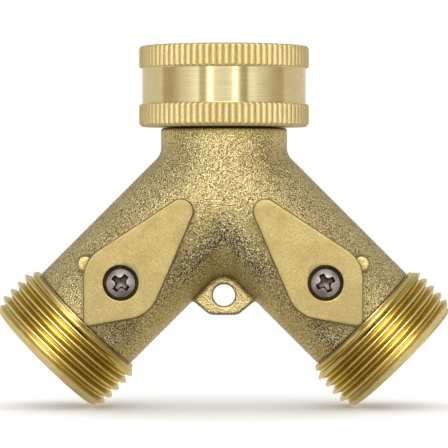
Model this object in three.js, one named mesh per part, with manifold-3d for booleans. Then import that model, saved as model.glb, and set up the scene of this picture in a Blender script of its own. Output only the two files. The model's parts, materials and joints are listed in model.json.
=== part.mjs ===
// Two-way garden hose splitter in brass: a swivel inlet nut, two male outlets at 45 degrees,
// and a quarter-turn ball valve with a flat lever in each arm. Millimetres, +Z up, front is -Y.
// The origin is on the inlet axis, level with the lowest points of the two outlets.
import * as THREE from 'three';
import { mergeVertices } from 'three/addons/utils/BufferGeometryUtils.js';
import Module from 'manifold-3d';

// Pipe thread G 3/4 (55 degree Whitworth form), used on the nut and on both outlets.
const PITCH = 1.814;
const THREAD_MAJOR_R = 13.22;
const THREAD_MINOR_R = 12.06;
const THREAD_CREST_HALF = 0.151;
const THREAD_FLANK_SLOPE = Math.tan(THREE.MathUtils.degToRad(27.5));
const THREAD_CLEAR = 0.05;

// Body. Neck heights are measured from the point where the neck and arm axes meet,
// and arm stations along each arm axis from the same point.
const ARM_ANGLE = THREE.MathUtils.degToRad(135);
const TUBE_R = 11.3;
const KNUCKLE_STEP = 0.05;
const BOSS_ROOT = TUBE_R / 2;
const NECK_TOP = 9.4;
const NECK_EDGE = 0.5;
const SPIGOT_R = 10.2;
const SPIGOT_TOP = 15.0;
const INLET_BORE_R = 7.5;
const ARM_BORE_R = 6.5;
const STEM_STATION = 25.2;
const CHAMBER_R = 9.0;
const CHAMBER_START = STEM_STATION - 8.5;
const CHAMBER_END = STEM_STATION + 8.5;
const RETAINER_BORE_R = 9.5;
const OUTLET_START = 35.3;
const OUTLET_END = 45.0;
const OUTLET_END_R = 12.0;
const LEAD_CHAMFER = 1.4;
const END_CHAMFER = 1.88;
const OUTLET_THREAD_PHASE = 33.18;
const ORIGIN_DROP = (OUTLET_END + OUTLET_END_R) / Math.SQRT2;

// Hanging web between the arms.
const WEB_THICKNESS = 3.0;
const WEB_TOP = -13.0;
const WEB_ROOT_X = 8.0;
const WEB_SHOULDER = [5.4, -21.7];
const WEB_CORNER = [2.5, -24.1];
const WEB_CORNER_R = 0.4;
const HANG_HOLE_Z = -20.6;
const HANG_HOLE_R = 2.0;

// Swivel nut and the snap ring that holds it on the spigot.
const NUT_R = 15.2;
const NUT_WAIST_R = 14.63;
const NUT_BOTTOM = 9.6;
const NUT_TOP = 24.0;
const WAIST_BOTTOM = 13.66;
const WAIST_TOP = 20.0;
const KNURL_COUNT = 80;
const KNURL_DEPTH = 0.42;
const LIP_R = 10.5;
const LIP_TOP = 12.2;
const NUT_RELIEF_R = 12.4;
const NUT_THREAD_START = 15.4;
const NUT_MOUTH_CHAMFER = 1.2;
const RING_GROOVE_R = 9.6;
const RING_GROOVE_BOTTOM = 12.5;
const RING_GROOVE_TOP = 13.7;
const RING_R = 11.3;
const RING_GAP = 0.1;
const RING_TURN = 0.92;
const WASHER_BOTTOM = 15.1;
const WASHER_TOP = 17.5;
const WASHER_R = 11.8;

// Ball valve in each arm, centred on the stem axis.
const BALL_R = 8.2;
const BALL_BORE_R = 5.5;
const SLOT_FLOOR = 6.2;
const SLOT_WIDTH = 3.2;
const SEAT_CLEARANCE = 0.3;
const SEAT_NEAR = 4.9;
const SEAT_FAR = 8.2;
const SEAT_BORE_R = 5.6;
const SEAT_R = 8.7;
const RETAINER_START = CHAMBER_END + 0.1;
const RETAINER_END = 37.7;
const RETAINER_R = 9.3;
const SPANNER_SLOT_WIDTH = 2.0;
const SPANNER_SLOT_DEPTH = 1.2;

// Stem, its boss on the arm and its seals. Heights are measured forwards from the arm axis.
const BOSS_R = 5.5;
const BOSS_TOP = 12.4;
const STEM_HOLE_R = 3.1;
const STEM_R = 3.0;
const FLANGE_R = 4.4;
const FLANGE_BOTTOM = 8.5;
const FLANGE_TOP = 9.2;
const FLANGE_RECESS_R = 4.7;
const FLANGE_RECESS_TOP = 9.6;
const O_RING_GROOVE_R = 2.15;
const O_RING_GROOVE_BOTTOM = 10.4;
const O_RING_GROOVE_TOP = 11.6;
const STEM_SHOULDER = 12.5;
const STEM_TOP = 13.7;
const TANG_BOTTOM = 6.4;
const TANG_WIDTH = 3.0;
const SQUARE = 4.2;
const WASHER_PLAY = 0.05;
const O_RING_PLAY = 0.03;
const TAPPED_HOLE_R = 1.6;
const TAPPED_HOLE_BOTTOM = 9.3;

// Lever, its stops and its screw. The lever outline is a kite: tip, two sides, heel.
const LEVER_BOTTOM = 12.6;
const LEVER_TOP = 15.4;
const LEVER_TIP = 24.1;
const LEVER_TIP_R = 2.27;
const LEVER_SIDE = [-1.2, 7.62];
const LEVER_SIDE_R = 6.0;
const LEVER_HEEL = -10.2;
const LEVER_HEEL_R = 1.24;
const LEVER_EDGE = 0.3;
const LEVER_REST_TURN = THREE.MathUtils.degToRad(5);
const SQUARE_SOCKET = 4.36;
const COUNTERBORE_R = 3.1;
const COUNTERBORE_FLOOR = 13.8;
const STOP_RIB = { from: 6.0, to: 10.4, half: 0.7, bottom: 11.6 };
const STOP_POST_R = 1.5;
const STOP_POST_TOP = 12.3;
const OPEN_POST = { towardNeck: 8.67, inward: 2.45 };
const CLOSED_POST = { towardNeck: -2.25, inward: -6.76 };
const SCREW_HEAD_R = 2.65;
const SCREW_HEAD_BOTTOM = 13.86;
const SCREW_HEAD_TOP = 15.8;
const SCREW_SHANK_R = 1.5;
const SCREW_END = 9.8;
const RECESS_REACH = 1.7;
const RECESS_WIDTH = 0.65;
const RECESS_DEPTH = 1.1;
const RECESS_TURN = { left: 1, right: 76 };

// Facets per turn of round work, and steps along a rounded corner.
const LARGE_SIDES = 40;
const SMALL_SIDES = 24;
const THREAD_SIDES = 24;
const TAPPED_HOLE_SIDES = 16;
const O_RING_SECTION_SIDES = 8;
const EDGE_STEPS = 2;
const CORNER_STEPS = 3;
const ARC_STEPS = 4;
const LEVER_CORNER_STEPS = 6;

// How far a cutting shape runs past the surface it cuts, and how near two points are one point.
const CUT_MARGIN = 0.5;
const SAME_POINT = 1e-4;

const LEFT = -1;
const RIGHT = 1;

const wasm = await Module();
wasm.setup();

const castBrass = material('cast_brass', 0xa8925f, 0.55, 1.0);
const brightBrass = material('bright_brass', 0xd8c38c, 0.3, 1.0);
const satinBrass = material('satin_brass', 0xd2bb7e, 0.5, 1.0);
const plainBrass = material('plain_brass', 0xc9a64f, 0.35, 1.0);
const chrome = material('chrome', 0xd5d8dc, 0.12, 1.0);
const steel = material('steel', 0x8d848a, 0.35, 1.0);
const ptfe = material('ptfe', 0xf0eee6, 0.5, 0.0);
const rubber = material('rubber', 0x1c1c1d, 0.75, 0.0);

function material(name, color, roughness, metalness) {
  const made = new THREE.MeshStandardMaterial({ color, roughness, metalness });
  made.name = name;
  return made;
}

// --- Shape helpers -------------------------------------------------------------------------

// A closed three.js surface, moved by an optional matrix, as a solid that can be joined or cut.
function solid(geometry, place = new THREE.Matrix4()) {
  const loose = geometry.index ? geometry.toNonIndexed() : geometry;
  const bare = new THREE.BufferGeometry();
  bare.setAttribute('position', loose.getAttribute('position').clone());
  bare.applyMatrix4(place);
  const merged = mergeVertices(bare, SAME_POINT);
  const vertProperties = merged.getAttribute('position').array;
  const triVerts = new Uint32Array(merged.index.array);
  return new wasm.Manifold(new wasm.Mesh({ numProp: 3, vertProperties, triVerts }));
}

function joined(...solids) {
  return solids.reduce((whole, piece) => whole.add(piece));
}

function geometryOf(shape) {
  const mesh = shape.getMesh();
  const indexed = new THREE.BufferGeometry();
  indexed.setAttribute('position', new THREE.BufferAttribute(mesh.vertProperties, 3));
  indexed.setIndex(new THREE.BufferAttribute(mesh.triVerts, 1));
  const flat = indexed.toNonIndexed();
  flat.computeVertexNormals();
  return flat;
}

function named(name, geometry, look) {
  const mesh = new THREE.Mesh(geometry, look);
  mesh.name = name;
  return mesh;
}

// Points on an arc in an outline plane, from one angle to another in degrees.
function arc(centre, radius, from, to, steps) {
  const points = [];
  for (let i = 0; i <= steps; i++) {
    const angle = THREE.MathUtils.degToRad(from + ((to - from) * i) / steps);
    points.push([centre[0] + radius * Math.cos(angle), centre[1] + radius * Math.sin(angle)]);
  }
  return points;
}

// Turns a closed [radius, height] outline, listed anticlockwise, right round +Z.
function turned(outline, sides = LARGE_SIDES) {
  const points = [...outline, outline[0]].map(([r, z]) => new THREE.Vector2(r, z));
  return new THREE.LatheGeometry(points, sides).rotateX(Math.PI / 2);
}

// Turns a closed outline through part of a turn from -Y, with flat ends.
function partTurned(outline, turn, sides) {
  const corners = outline.map(([r, z]) => new THREE.Vector2(r, z));
  const loop = [...corners, corners[0]];
  const steps = Math.round(turn * sides);
  const shell = new THREE.LatheGeometry(loop, steps, 0, 2 * Math.PI * turn);
  const index = [...shell.index.array];
  const lastLoop = steps * loop.length;
  for (const [a, b, c] of THREE.ShapeUtils.triangulateShape(corners, [])) {
    index.push(a, b, c);
    index.push(lastLoop + a, lastLoop + c, lastLoop + b);
  }
  shell.setIndex(index);
  return shell.rotateX(Math.PI / 2);
}

// A plain upright round bar between two heights.
function bar(radius, bottom, top, sides = SMALL_SIDES) {
  return turned([[0, bottom], [radius, bottom], [radius, top], [0, top]], sides);
}

// A washer or sleeve between two radii and two heights.
function sleeve(inner, outer, bottom, top, sides = LARGE_SIDES) {
  return turned([[inner, bottom], [outer, bottom], [outer, top], [inner, top]], sides);
}

function box(width, depth, bottom, top) {
  return new THREE.BoxGeometry(width, depth, top - bottom).translate(0, 0, (bottom + top) / 2);
}

// Points of a closed anticlockwise outline, with each corner [x, y, radius] rounded.
function rounded(corners, steps) {
  return corners.flatMap(([x, y, radius], i) => {
    if (!radius) return [new THREE.Vector2(x, y)];
    const corner = new THREE.Vector2(x, y);
    const before = corners[(i + corners.length - 1) % corners.length];
    const after = corners[(i + 1) % corners.length];
    const toBefore = new THREE.Vector2(before[0], before[1]).sub(corner).normalize();
    const toAfter = new THREE.Vector2(after[0], after[1]).sub(corner).normalize();
    const half = Math.acos(toBefore.dot(toAfter)) / 2;
    const centre = toBefore.clone().add(toAfter).normalize();
    centre.multiplyScalar(radius / Math.sin(half)).add(corner);
    const start = toBefore.multiplyScalar(radius / Math.tan(half)).add(corner).sub(centre);
    const sweep = Math.PI - 2 * half;
    return Array.from({ length: steps + 1 }, (_, step) => {
      const spoke = start.clone().rotateAround(new THREE.Vector2(), (sweep * step) / steps);
      return spoke.add(centre);
    });
  });
}

// A solid rod with a right-hand G 3/4 thread. Its ridge is at the start height at the front (-Y)
// and climbs until it is past the end height. Each turn's upper edge is the next turn's lower one.
function threadedRod(start, end) {
  const foot = THREAD_CREST_HALF + (THREAD_MAJOR_R - THREAD_MINOR_R) * THREAD_FLANK_SLOPE;
  const profile = [
    [THREAD_MINOR_R, -foot],
    [THREAD_MAJOR_R, -THREAD_CREST_HALF],
    [THREAD_MAJOR_R, THREAD_CREST_HALF],
    [THREAD_MINOR_R, foot],
  ];
  const steps = Math.ceil(((end - start) / PITCH + 2) * THREAD_SIDES);
  const last = profile.length;
  const places = [];
  for (let step = 0; step <= steps; step++) {
    const angle = (2 * Math.PI * step) / THREAD_SIDES;
    const rise = start + (PITCH * step) / THREAD_SIDES;
    for (const [r, z] of profile) places.push(r * Math.sin(angle), -r * Math.cos(angle), z + rise);
  }
  const lowApex = places.length / 3;
  const highApex = lowApex + 1;
  places.push(0, 0, start - foot, 0, 0, start + (PITCH * steps) / THREAD_SIDES);
  const vertex = (step, point) => {
    return point === last ? (step + THREAD_SIDES) * last : step * last + point;
  };
  const index = [];
  const lastFull = steps - THREAD_SIDES;
  for (let step = 0; step < lastFull; step++) {
    for (let point = 0; point < last; point++) {
      const corner = vertex(step, point);
      const across = vertex(step + 1, point + 1);
      index.push(corner, vertex(step + 1, point), across);
      index.push(across, vertex(step, point + 1), corner);
    }
  }
  for (let step = 0; step < THREAD_SIDES; step++) {
    index.push(lowApex, vertex(step + 1, 0), vertex(step, 0));
    index.push(highApex, vertex(lastFull + step, 0), vertex(lastFull + step + 1, 0));
  }
  for (let point = 0; point < last; point++) {
    index.push(lowApex, vertex(0, point), vertex(0, point + 1));
    index.push(highApex, vertex(lastFull, point + 1), vertex(lastFull, point));
  }
  const rod = new THREE.BufferGeometry();
  rod.setAttribute('position', new THREE.Float32BufferAttribute(places, 3));
  rod.setIndex(index);
  return rod;
}

// --- Body ----------------------------------------------------------------------------------

function neckOutline() {
  return [
    [0, 0],
    [TUBE_R, 0],
    ...arc([TUBE_R - NECK_EDGE, NECK_TOP - NECK_EDGE], NECK_EDGE, 0, 90, EDGE_STEPS),
    [SPIGOT_R, NECK_TOP],
    [SPIGOT_R, RING_GROOVE_BOTTOM],
    [RING_GROOVE_R, RING_GROOVE_BOTTOM],
    [RING_GROOVE_R, RING_GROOVE_TOP],
    [SPIGOT_R, RING_GROOVE_TOP],
    [SPIGOT_R, SPIGOT_TOP],
    [0, SPIGOT_TOP],
  ];
}

// The threaded end of an arm: a threaded rod inside a chamfered envelope.
function outletEnd(place) {
  const crest = THREAD_MAJOR_R + THREAD_CLEAR;
  const envelope = [
    [0, OUTLET_START],
    [THREAD_MINOR_R, OUTLET_START],
    [crest, OUTLET_START + LEAD_CHAMFER],
    [crest, OUTLET_END - END_CHAMFER],
    [OUTLET_END_R, OUTLET_END],
    [0, OUTLET_END],
  ];
  const rod = solid(threadedRod(OUTLET_THREAD_PHASE, OUTLET_END), place);
  return rod.intersect(solid(turned(envelope, THREAD_SIDES), place));
}

// The web in the crotch that carries the hanging hole, drawn in the plane of the three axes.
function hangingWeb() {
  const [shoulderX, shoulderZ] = WEB_SHOULDER;
  const [cornerX, cornerZ] = WEB_CORNER;
  const outline = rounded([
    [0, WEB_TOP, 0],
    [-WEB_ROOT_X, shoulderZ, 0],
    [-shoulderX, shoulderZ, 0],
    [-cornerX, cornerZ, WEB_CORNER_R],
    [cornerX, cornerZ, WEB_CORNER_R],
    [shoulderX, shoulderZ, 0],
    [WEB_ROOT_X, shoulderZ, 0],
  ], CORNER_STEPS);
  const shape = new THREE.Shape(outline);
  shape.holes.push(new THREE.Path().absarc(0, HANG_HOLE_Z, HANG_HOLE_R, 0, 2 * Math.PI, true));
  const web = new THREE.ExtrudeGeometry(shape, {
    depth: WEB_THICKNESS,
    bevelEnabled: false,
    curveSegments: SMALL_SIDES / 2,
  });
  return web.rotateX(Math.PI / 2).translate(0, WEB_THICKNESS / 2, 0);
}

// Everything bored out along one arm: passage, valve chamber and retainer bore.
function armBores(place) {
  const outline = [
    [0, 0],
    [ARM_BORE_R, 0],
    [ARM_BORE_R, CHAMBER_START],
    [CHAMBER_R, CHAMBER_START],
    [CHAMBER_R, CHAMBER_END],
    [RETAINER_BORE_R, CHAMBER_END],
    [RETAINER_BORE_R, OUTLET_END + CUT_MARGIN],
    [0, OUTLET_END + CUT_MARGIN],
  ];
  return solid(turned(outline, THREAD_SIDES), place);
}

// One arm's outside: tube, threaded end, stem boss and the two lever stop posts.
function armOutside(side) {
  const place = armMatrix(side);
  const atStem = stemMatrix(side);
  const post = ({ towardNeck, inward }) => {
    const round = bar(STOP_POST_R, BOSS_ROOT, STOP_POST_TOP);
    return solid(round.translate(-side * inward, towardNeck, 0), atStem);
  };
  return joined(
    solid(bar(TUBE_R, 0, OUTLET_START + CUT_MARGIN, LARGE_SIDES), place),
    outletEnd(place),
    solid(bar(BOSS_R, BOSS_ROOT, BOSS_TOP), atStem),
    post(OPEN_POST),
    post(CLOSED_POST),
  );
}

// One arm's hollows: the bores, the stem hole and the recess for the stem flange.
function armHollows(side) {
  const atStem = stemMatrix(side);
  return joined(
    armBores(armMatrix(side)),
    solid(bar(FLANGE_RECESS_R, 0, FLANGE_RECESS_TOP), atStem),
    solid(bar(STEM_HOLE_R, 0, BOSS_TOP + CUT_MARGIN), atStem),
  );
}

function body() {
  const outside = joined(
    solid(turned(neckOutline())),
    solid(new THREE.SphereGeometry(TUBE_R - KNUCKLE_STEP, LARGE_SIDES, LARGE_SIDES / 2)),
    armOutside(LEFT),
    armOutside(RIGHT),
    solid(hangingWeb()),
  );
  const hollows = joined(
    solid(bar(INLET_BORE_R, 0, SPIGOT_TOP + CUT_MARGIN)),
    solid(new THREE.SphereGeometry(INLET_BORE_R, SMALL_SIDES, SMALL_SIDES / 2)),
    armHollows(LEFT),
    armHollows(RIGHT),
  );
  return named('body', geometryOf(outside.subtract(hollows)), castBrass);
}

// --- Inlet ---------------------------------------------------------------------------------

// A ring of straight V-sided flutes, as one band of a knurl.
function knurlBand(bottom, top) {
  const points = Array.from({ length: 2 * KNURL_COUNT }, (_, i) => {
    const radius = i % 2 ? NUT_R - KNURL_DEPTH : NUT_R;
    const angle = -Math.PI / 2 + (i * Math.PI) / KNURL_COUNT;
    return new THREE.Vector2(radius * Math.cos(angle), radius * Math.sin(angle));
  });
  const band = new THREE.ExtrudeGeometry(new THREE.Shape(points), {
    depth: top - bottom,
    bevelEnabled: false,
  });
  return band.translate(0, 0, bottom);
}

function swivelNut() {
  const outside = joined(
    solid(knurlBand(NUT_BOTTOM, WAIST_BOTTOM)),
    solid(bar(NUT_WAIST_R, NUT_BOTTOM + KNURL_DEPTH, NUT_TOP - KNURL_DEPTH, KNURL_COUNT)),
    solid(knurlBand(WAIST_TOP, NUT_TOP)),
  );
  const bore = [
    [0, NUT_BOTTOM - CUT_MARGIN],
    [LIP_R, NUT_BOTTOM - CUT_MARGIN],
    [LIP_R, LIP_TOP],
    [NUT_RELIEF_R, LIP_TOP],
    [NUT_RELIEF_R, NUT_THREAD_START],
    [0, NUT_THREAD_START],
  ];
  const mouth = [
    [0, NUT_TOP - NUT_MOUTH_CHAMFER],
    [THREAD_MINOR_R, NUT_TOP - NUT_MOUTH_CHAMFER],
    [THREAD_MINOR_R + NUT_MOUTH_CHAMFER + CUT_MARGIN, NUT_TOP + CUT_MARGIN],
    [0, NUT_TOP + CUT_MARGIN],
  ];
  const nut = outside
    .subtract(solid(turned(bore, THREAD_SIDES)))
    .subtract(solid(threadedRod(NUT_THREAD_START - PITCH, NUT_TOP)))
    .subtract(solid(turned(mouth, THREAD_SIDES)));
  return named('swivel_nut', geometryOf(nut), brightBrass);
}

// A split snap ring: a flat ring with a gap, open enough to spring into its groove.
function nutRetainingRing() {
  const inner = RING_GROOVE_R + RING_GAP;
  const bottom = RING_GROOVE_BOTTOM + RING_GAP;
  const top = RING_GROOVE_TOP - RING_GAP;
  const outline = [[inner, bottom], [RING_R, bottom], [RING_R, top], [inner, top]];
  return named('nut_retaining_ring', partTurned(outline, RING_TURN, LARGE_SIDES), steel);
}

function inletWasher() {
  const washer = sleeve(INLET_BORE_R, WASHER_R, WASHER_BOTTOM, WASHER_TOP);
  return named('inlet_washer', washer, rubber);
}

// --- Valve, in the stem frame: +Z forwards, +Y towards the neck, X across the arm -----------

function ball(name) {
  const bore = bar(BALL_BORE_R, -BALL_R, BALL_R).rotateX(Math.PI / 2);
  const slot = box(2 * BALL_R, SLOT_WIDTH, SLOT_FLOOR, BALL_R);
  const made = solid(new THREE.SphereGeometry(BALL_R, SMALL_SIDES, SMALL_SIDES / 2))
    .subtract(solid(bore))
    .subtract(solid(slot));
  return named(name, geometryOf(made), chrome);
}

// A ball seat about the arm axis: its inner corner is hollowed to fit round the ball.
function seat(name) {
  const sphere = BALL_R + SEAT_CLEARANCE;
  const near = THREE.MathUtils.radToDeg(Math.asin(SEAT_NEAR / sphere));
  const far = THREE.MathUtils.radToDeg(Math.acos(SEAT_BORE_R / sphere));
  const outline = [
    ...arc([0, 0], sphere, far, near, ARC_STEPS),
    [SEAT_R, SEAT_NEAR],
    [SEAT_R, SEAT_FAR],
    [SEAT_BORE_R, SEAT_FAR],
  ];
  return named(name, turned(outline, THREAD_SIDES), ptfe);
}

function seatRetainer(name) {
  const ring = sleeve(ARM_BORE_R, RETAINER_R, RETAINER_START, RETAINER_END, THREAD_SIDES);
  const slot = box(2 * RETAINER_BORE_R, SPANNER_SLOT_WIDTH,
    RETAINER_END - SPANNER_SLOT_DEPTH, RETAINER_END + CUT_MARGIN);
  return named(name, geometryOf(solid(ring).subtract(solid(slot))), plainBrass);
}

function stem(name) {
  const shaft = solid(turned([
    [0, FLANGE_BOTTOM],
    [FLANGE_R, FLANGE_BOTTOM],
    [FLANGE_R, FLANGE_TOP],
    [STEM_R, FLANGE_TOP],
    [STEM_R, O_RING_GROOVE_BOTTOM],
    [O_RING_GROOVE_R, O_RING_GROOVE_BOTTOM],
    [O_RING_GROOVE_R, O_RING_GROOVE_TOP],
    [STEM_R, O_RING_GROOVE_TOP],
    [STEM_R, STEM_SHOULDER],
    [0, STEM_SHOULDER],
  ], SMALL_SIDES));
  const round = solid(bar(STEM_R, TANG_BOTTOM, FLANGE_BOTTOM));
  const tang = solid(box(2 * STEM_R, TANG_WIDTH, TANG_BOTTOM, FLANGE_BOTTOM + CUT_MARGIN));
  const made = joined(
    shaft,
    round.intersect(tang),
    solid(box(SQUARE, SQUARE, STEM_SHOULDER - CUT_MARGIN, STEM_TOP)),
  ).subtract(solid(bar(TAPPED_HOLE_R, TAPPED_HOLE_BOTTOM, STEM_TOP + CUT_MARGIN,
    TAPPED_HOLE_SIDES)));
  return named(name, geometryOf(made), plainBrass);
}

function stemWasher(name) {
  const washer = sleeve(STEM_HOLE_R, FLANGE_R, FLANGE_TOP + WASHER_PLAY,
    FLANGE_RECESS_TOP - WASHER_PLAY, SMALL_SIDES);
  return named(name, washer, ptfe);
}

function stemORing(name) {
  const radius = (STEM_HOLE_R + O_RING_GROOVE_R) / 2;
  const section = (STEM_HOLE_R - O_RING_GROOVE_R) / 2 - O_RING_PLAY;
  const middle = (O_RING_GROOVE_BOTTOM + O_RING_GROOVE_TOP) / 2;
  const ring = new THREE.TorusGeometry(radius, section, O_RING_SECTION_SIDES, SMALL_SIDES);
  return named(name, ring.translate(0, 0, middle), rubber);
}

function leverPlate() {
  const [sideAlong, sideAcross] = LEVER_SIDE;
  const outline = rounded([
    [0, LEVER_TIP, LEVER_TIP_R],
    [-sideAcross, sideAlong, LEVER_SIDE_R],
    [0, LEVER_HEEL, LEVER_HEEL_R],
    [sideAcross, sideAlong, LEVER_SIDE_R],
  ], LEVER_CORNER_STEPS);
  const plate = new THREE.ExtrudeGeometry(new THREE.Shape(outline), {
    depth: LEVER_TOP - LEVER_BOTTOM - 2 * LEVER_EDGE,
    bevelSize: LEVER_EDGE,
    bevelOffset: -LEVER_EDGE,
    bevelThickness: LEVER_EDGE,
    bevelSegments: 1,
  });
  return plate.translate(0, 0, LEVER_BOTTOM + LEVER_EDGE);
}

function lever(name) {
  const { from, to, half, bottom } = STOP_RIB;
  const rib = box(2 * half, to - from, bottom, LEVER_BOTTOM + CUT_MARGIN);
  rib.translate(0, (from + to) / 2, 0);
  const made = joined(solid(leverPlate()), solid(rib))
    .subtract(solid(bar(COUNTERBORE_R, COUNTERBORE_FLOOR, LEVER_TOP + CUT_MARGIN)))
    .subtract(solid(box(SQUARE_SOCKET, SQUARE_SOCKET, STOP_POST_TOP, LEVER_TOP)));
  return named(name, geometryOf(made), satinBrass);
}

// A pan-head machine screw with a cross recess.
function leverScrew(name, recessTurn) {
  const rise = SCREW_HEAD_TOP - SCREW_HEAD_BOTTOM;
  const corner = [SCREW_HEAD_R - rise / 2, SCREW_HEAD_BOTTOM + rise / 2];
  const outline = [
    [0, SCREW_END],
    [SCREW_SHANK_R, SCREW_END],
    [SCREW_SHANK_R, SCREW_HEAD_BOTTOM],
    [SCREW_HEAD_R, SCREW_HEAD_BOTTOM],
    ...arc(corner, rise / 2, 0, 90, ARC_STEPS),
    [0, SCREW_HEAD_TOP],
  ];
  const arm = (turn) => {
    const cut = box(2 * RECESS_REACH, RECESS_WIDTH, SCREW_HEAD_TOP - RECESS_DEPTH,
      SCREW_HEAD_TOP + CUT_MARGIN);
    return solid(cut.rotateZ(THREE.MathUtils.degToRad(recessTurn + turn)));
  };
  const made = solid(turned(outline, SMALL_SIDES)).subtract(arm(0)).subtract(arm(90));
  return named(name, geometryOf(made), steel);
}

// --- Assembly ------------------------------------------------------------------------------

// Arm frame: +Z out along the arm, Y as the fitting's Y, for the arm on one side.
function armMatrix(side) {
  return new THREE.Matrix4().makeRotationY(side * ARM_ANGLE);
}

// Stem frame: origin on the arm axis, +Z forwards, +Y towards the neck, so that +X points
// inwards on the left arm and outwards on the right arm.
function stemMatrix(side) {
  const toNeck = new THREE.Vector3(-side * Math.SQRT1_2, 0, Math.SQRT1_2);
  const forwards = new THREE.Vector3(0, -1, 0);
  const across = new THREE.Vector3().crossVectors(toNeck, forwards);
  const made = new THREE.Matrix4().makeBasis(across, toNeck, forwards);
  return made.setPosition(toNeck.multiplyScalar(-STEM_STATION));
}

// The parts that turn with one lever, already turned by the lever's rest angle.
function valve(side, prefix) {
  const group = new THREE.Group();
  group.applyMatrix4(stemMatrix(side));
  group.rotateZ(-side * LEVER_REST_TURN);
  group.add(
    ball(`${prefix}_ball`),
    stem(`${prefix}_stem`),
    stemORing(`${prefix}_stem_o_ring`),
    lever(`${prefix}_lever`),
    leverScrew(`${prefix}_lever_screw`, RECESS_TURN[prefix]),
  );
  return group;
}

// The parts that stay still in one arm: seats and retainer along it, and the stem washer.
function armFittings(side, prefix) {
  const arm = new THREE.Group();
  arm.applyMatrix4(armMatrix(side));
  const innerSeat = seat(`${prefix}_inner_seat`);
  const outerSeat = seat(`${prefix}_outer_seat`);
  innerSeat.position.z = STEM_STATION;
  innerSeat.rotation.x = Math.PI;
  outerSeat.position.z = STEM_STATION;
  arm.add(innerSeat, outerSeat, seatRetainer(`${prefix}_seat_retainer`));
  const washer = stemWasher(`${prefix}_stem_washer`);
  washer.applyMatrix4(stemMatrix(side));
  const fittings = new THREE.Group();
  fittings.add(arm, washer);
  return fittings;
}

const splitter = new THREE.Group();
splitter.name = 'hose_splitter';
const aboutJunction = new THREE.Group();
aboutJunction.position.z = ORIGIN_DROP;
splitter.add(aboutJunction);
aboutJunction.add(
  body(),
  swivelNut(),
  nutRetainingRing(),
  inletWasher(),
  armFittings(LEFT, 'left'),
  armFittings(RIGHT, 'right'),
  valve(LEFT, 'left'),
  valve(RIGHT, 'right'),
);

export default splitter;
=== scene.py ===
# Hose splitter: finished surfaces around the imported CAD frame. Shapes are worked out in
# millimetres about the junction, where the neck and arm axes meet, and stored in metres.
import json
import math

import bmesh
import bpy
import numpy as np
from mathutils import Matrix, Vector


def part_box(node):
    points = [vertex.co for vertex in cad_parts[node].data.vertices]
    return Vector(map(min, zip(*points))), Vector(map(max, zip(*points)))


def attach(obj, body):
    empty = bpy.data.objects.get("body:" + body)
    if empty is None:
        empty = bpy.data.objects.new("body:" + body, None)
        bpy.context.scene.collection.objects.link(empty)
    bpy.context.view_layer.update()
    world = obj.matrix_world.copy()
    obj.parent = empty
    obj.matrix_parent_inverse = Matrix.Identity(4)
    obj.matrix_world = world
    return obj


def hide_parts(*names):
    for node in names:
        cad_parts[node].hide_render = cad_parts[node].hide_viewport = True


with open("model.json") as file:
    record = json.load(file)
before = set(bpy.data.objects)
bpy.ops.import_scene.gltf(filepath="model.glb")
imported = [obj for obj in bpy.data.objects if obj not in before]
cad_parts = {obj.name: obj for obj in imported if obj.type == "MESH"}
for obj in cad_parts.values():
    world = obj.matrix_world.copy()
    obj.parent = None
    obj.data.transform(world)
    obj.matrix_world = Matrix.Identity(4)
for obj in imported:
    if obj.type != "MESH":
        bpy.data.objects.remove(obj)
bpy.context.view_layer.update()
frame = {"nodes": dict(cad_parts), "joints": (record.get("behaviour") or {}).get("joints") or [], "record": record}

MM = 0.001

# ---------------------------------------------------------------------------------------------
# Places read from the frame
# ---------------------------------------------------------------------------------------------

MOUNTS = {m["name"]: Vector(m["pos_m"]) / MM for m in frame["record"]["mounts"]}
JOINTS = {j["name"]: Vector(j["pos_m"]) / MM for j in frame["joints"]}


def box_mm(node):
    low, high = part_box(node)
    return low / MM, high / MM


ROOT_HALF = math.sqrt(0.5)
JUNCTION_Z = MOUNTS["right_outlet"].z + MOUNTS["right_outlet"].x
OUTLET_END = MOUNTS["right_outlet"].x / ROOT_HALF
STEM_STATION = JOINTS["right_lever_turn"].x / ROOT_HALF
NUT_LOW, NUT_HIGH = box_mm("swivel_nut")
NUT_R = NUT_HIGH.x
NUT_BOTTOM = NUT_LOW.z - JUNCTION_Z
NUT_TOP = NUT_HIGH.z - JUNCTION_Z
WASHER_LOW, WASHER_HIGH = box_mm("inlet_washer")
SEAT_HALF = (box_mm("right_outer_seat")[1].y - box_mm("right_outer_seat")[0].y) / 2
BALL_R = box_mm("right_ball")[1].y
RETAINER_R = box_mm("right_seat_retainer")[1].y
LEVER_TOP = -box_mm("right_lever")[0].y
SCREW_TOP = -box_mm("right_lever_screw")[0].y
SCREW_HEAD_R = (box_mm("right_lever_screw")[1].x - box_mm("right_lever_screw")[0].x) / 2

# Sizes the frame doesn't state, the same as in the CAD source.
PITCH = 1.814
THREAD_MAJOR_R = 13.22
THREAD_MINOR_R = 12.06
THREAD_CREST_HALF = 0.151
THREAD_FLANK = math.tan(math.radians(27.5))
TUBE_R = 11.3
NECK_TOP = 9.4
SPIGOT_R = 10.2
SPIGOT_TOP = 15.0
GROOVE = (12.5, 13.7, 9.6)
INLET_BORE_R = 7.5
ARM_BORE_R = 6.5
CHAMBER = (STEM_STATION - 8.5, STEM_STATION + 8.5, 9.0)
RETAINER_BORE_R = 9.5
OUTLET_START = 35.3
OUTLET_END_R = 12.0
LEAD_CHAMFER = 1.4
END_CHAMFER = 1.88
OUTLET_THREAD_PHASE = 33.18
BOSS_R = 5.5
BOSS_TOP = 12.4
STEM_HOLE_R = 3.1
POST_R = 1.5
POST_TOP = 12.3
OPEN_POST = (8.67, 2.45)
CLOSED_POST = (-2.25, -6.76)
WEB_HALF = 1.5
HANG_HOLE = (-20.6, 2.0)
WAIST = (13.66, 20.0, 14.63)
LIP_R = 10.5
LIP_TOP = 12.2
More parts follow.
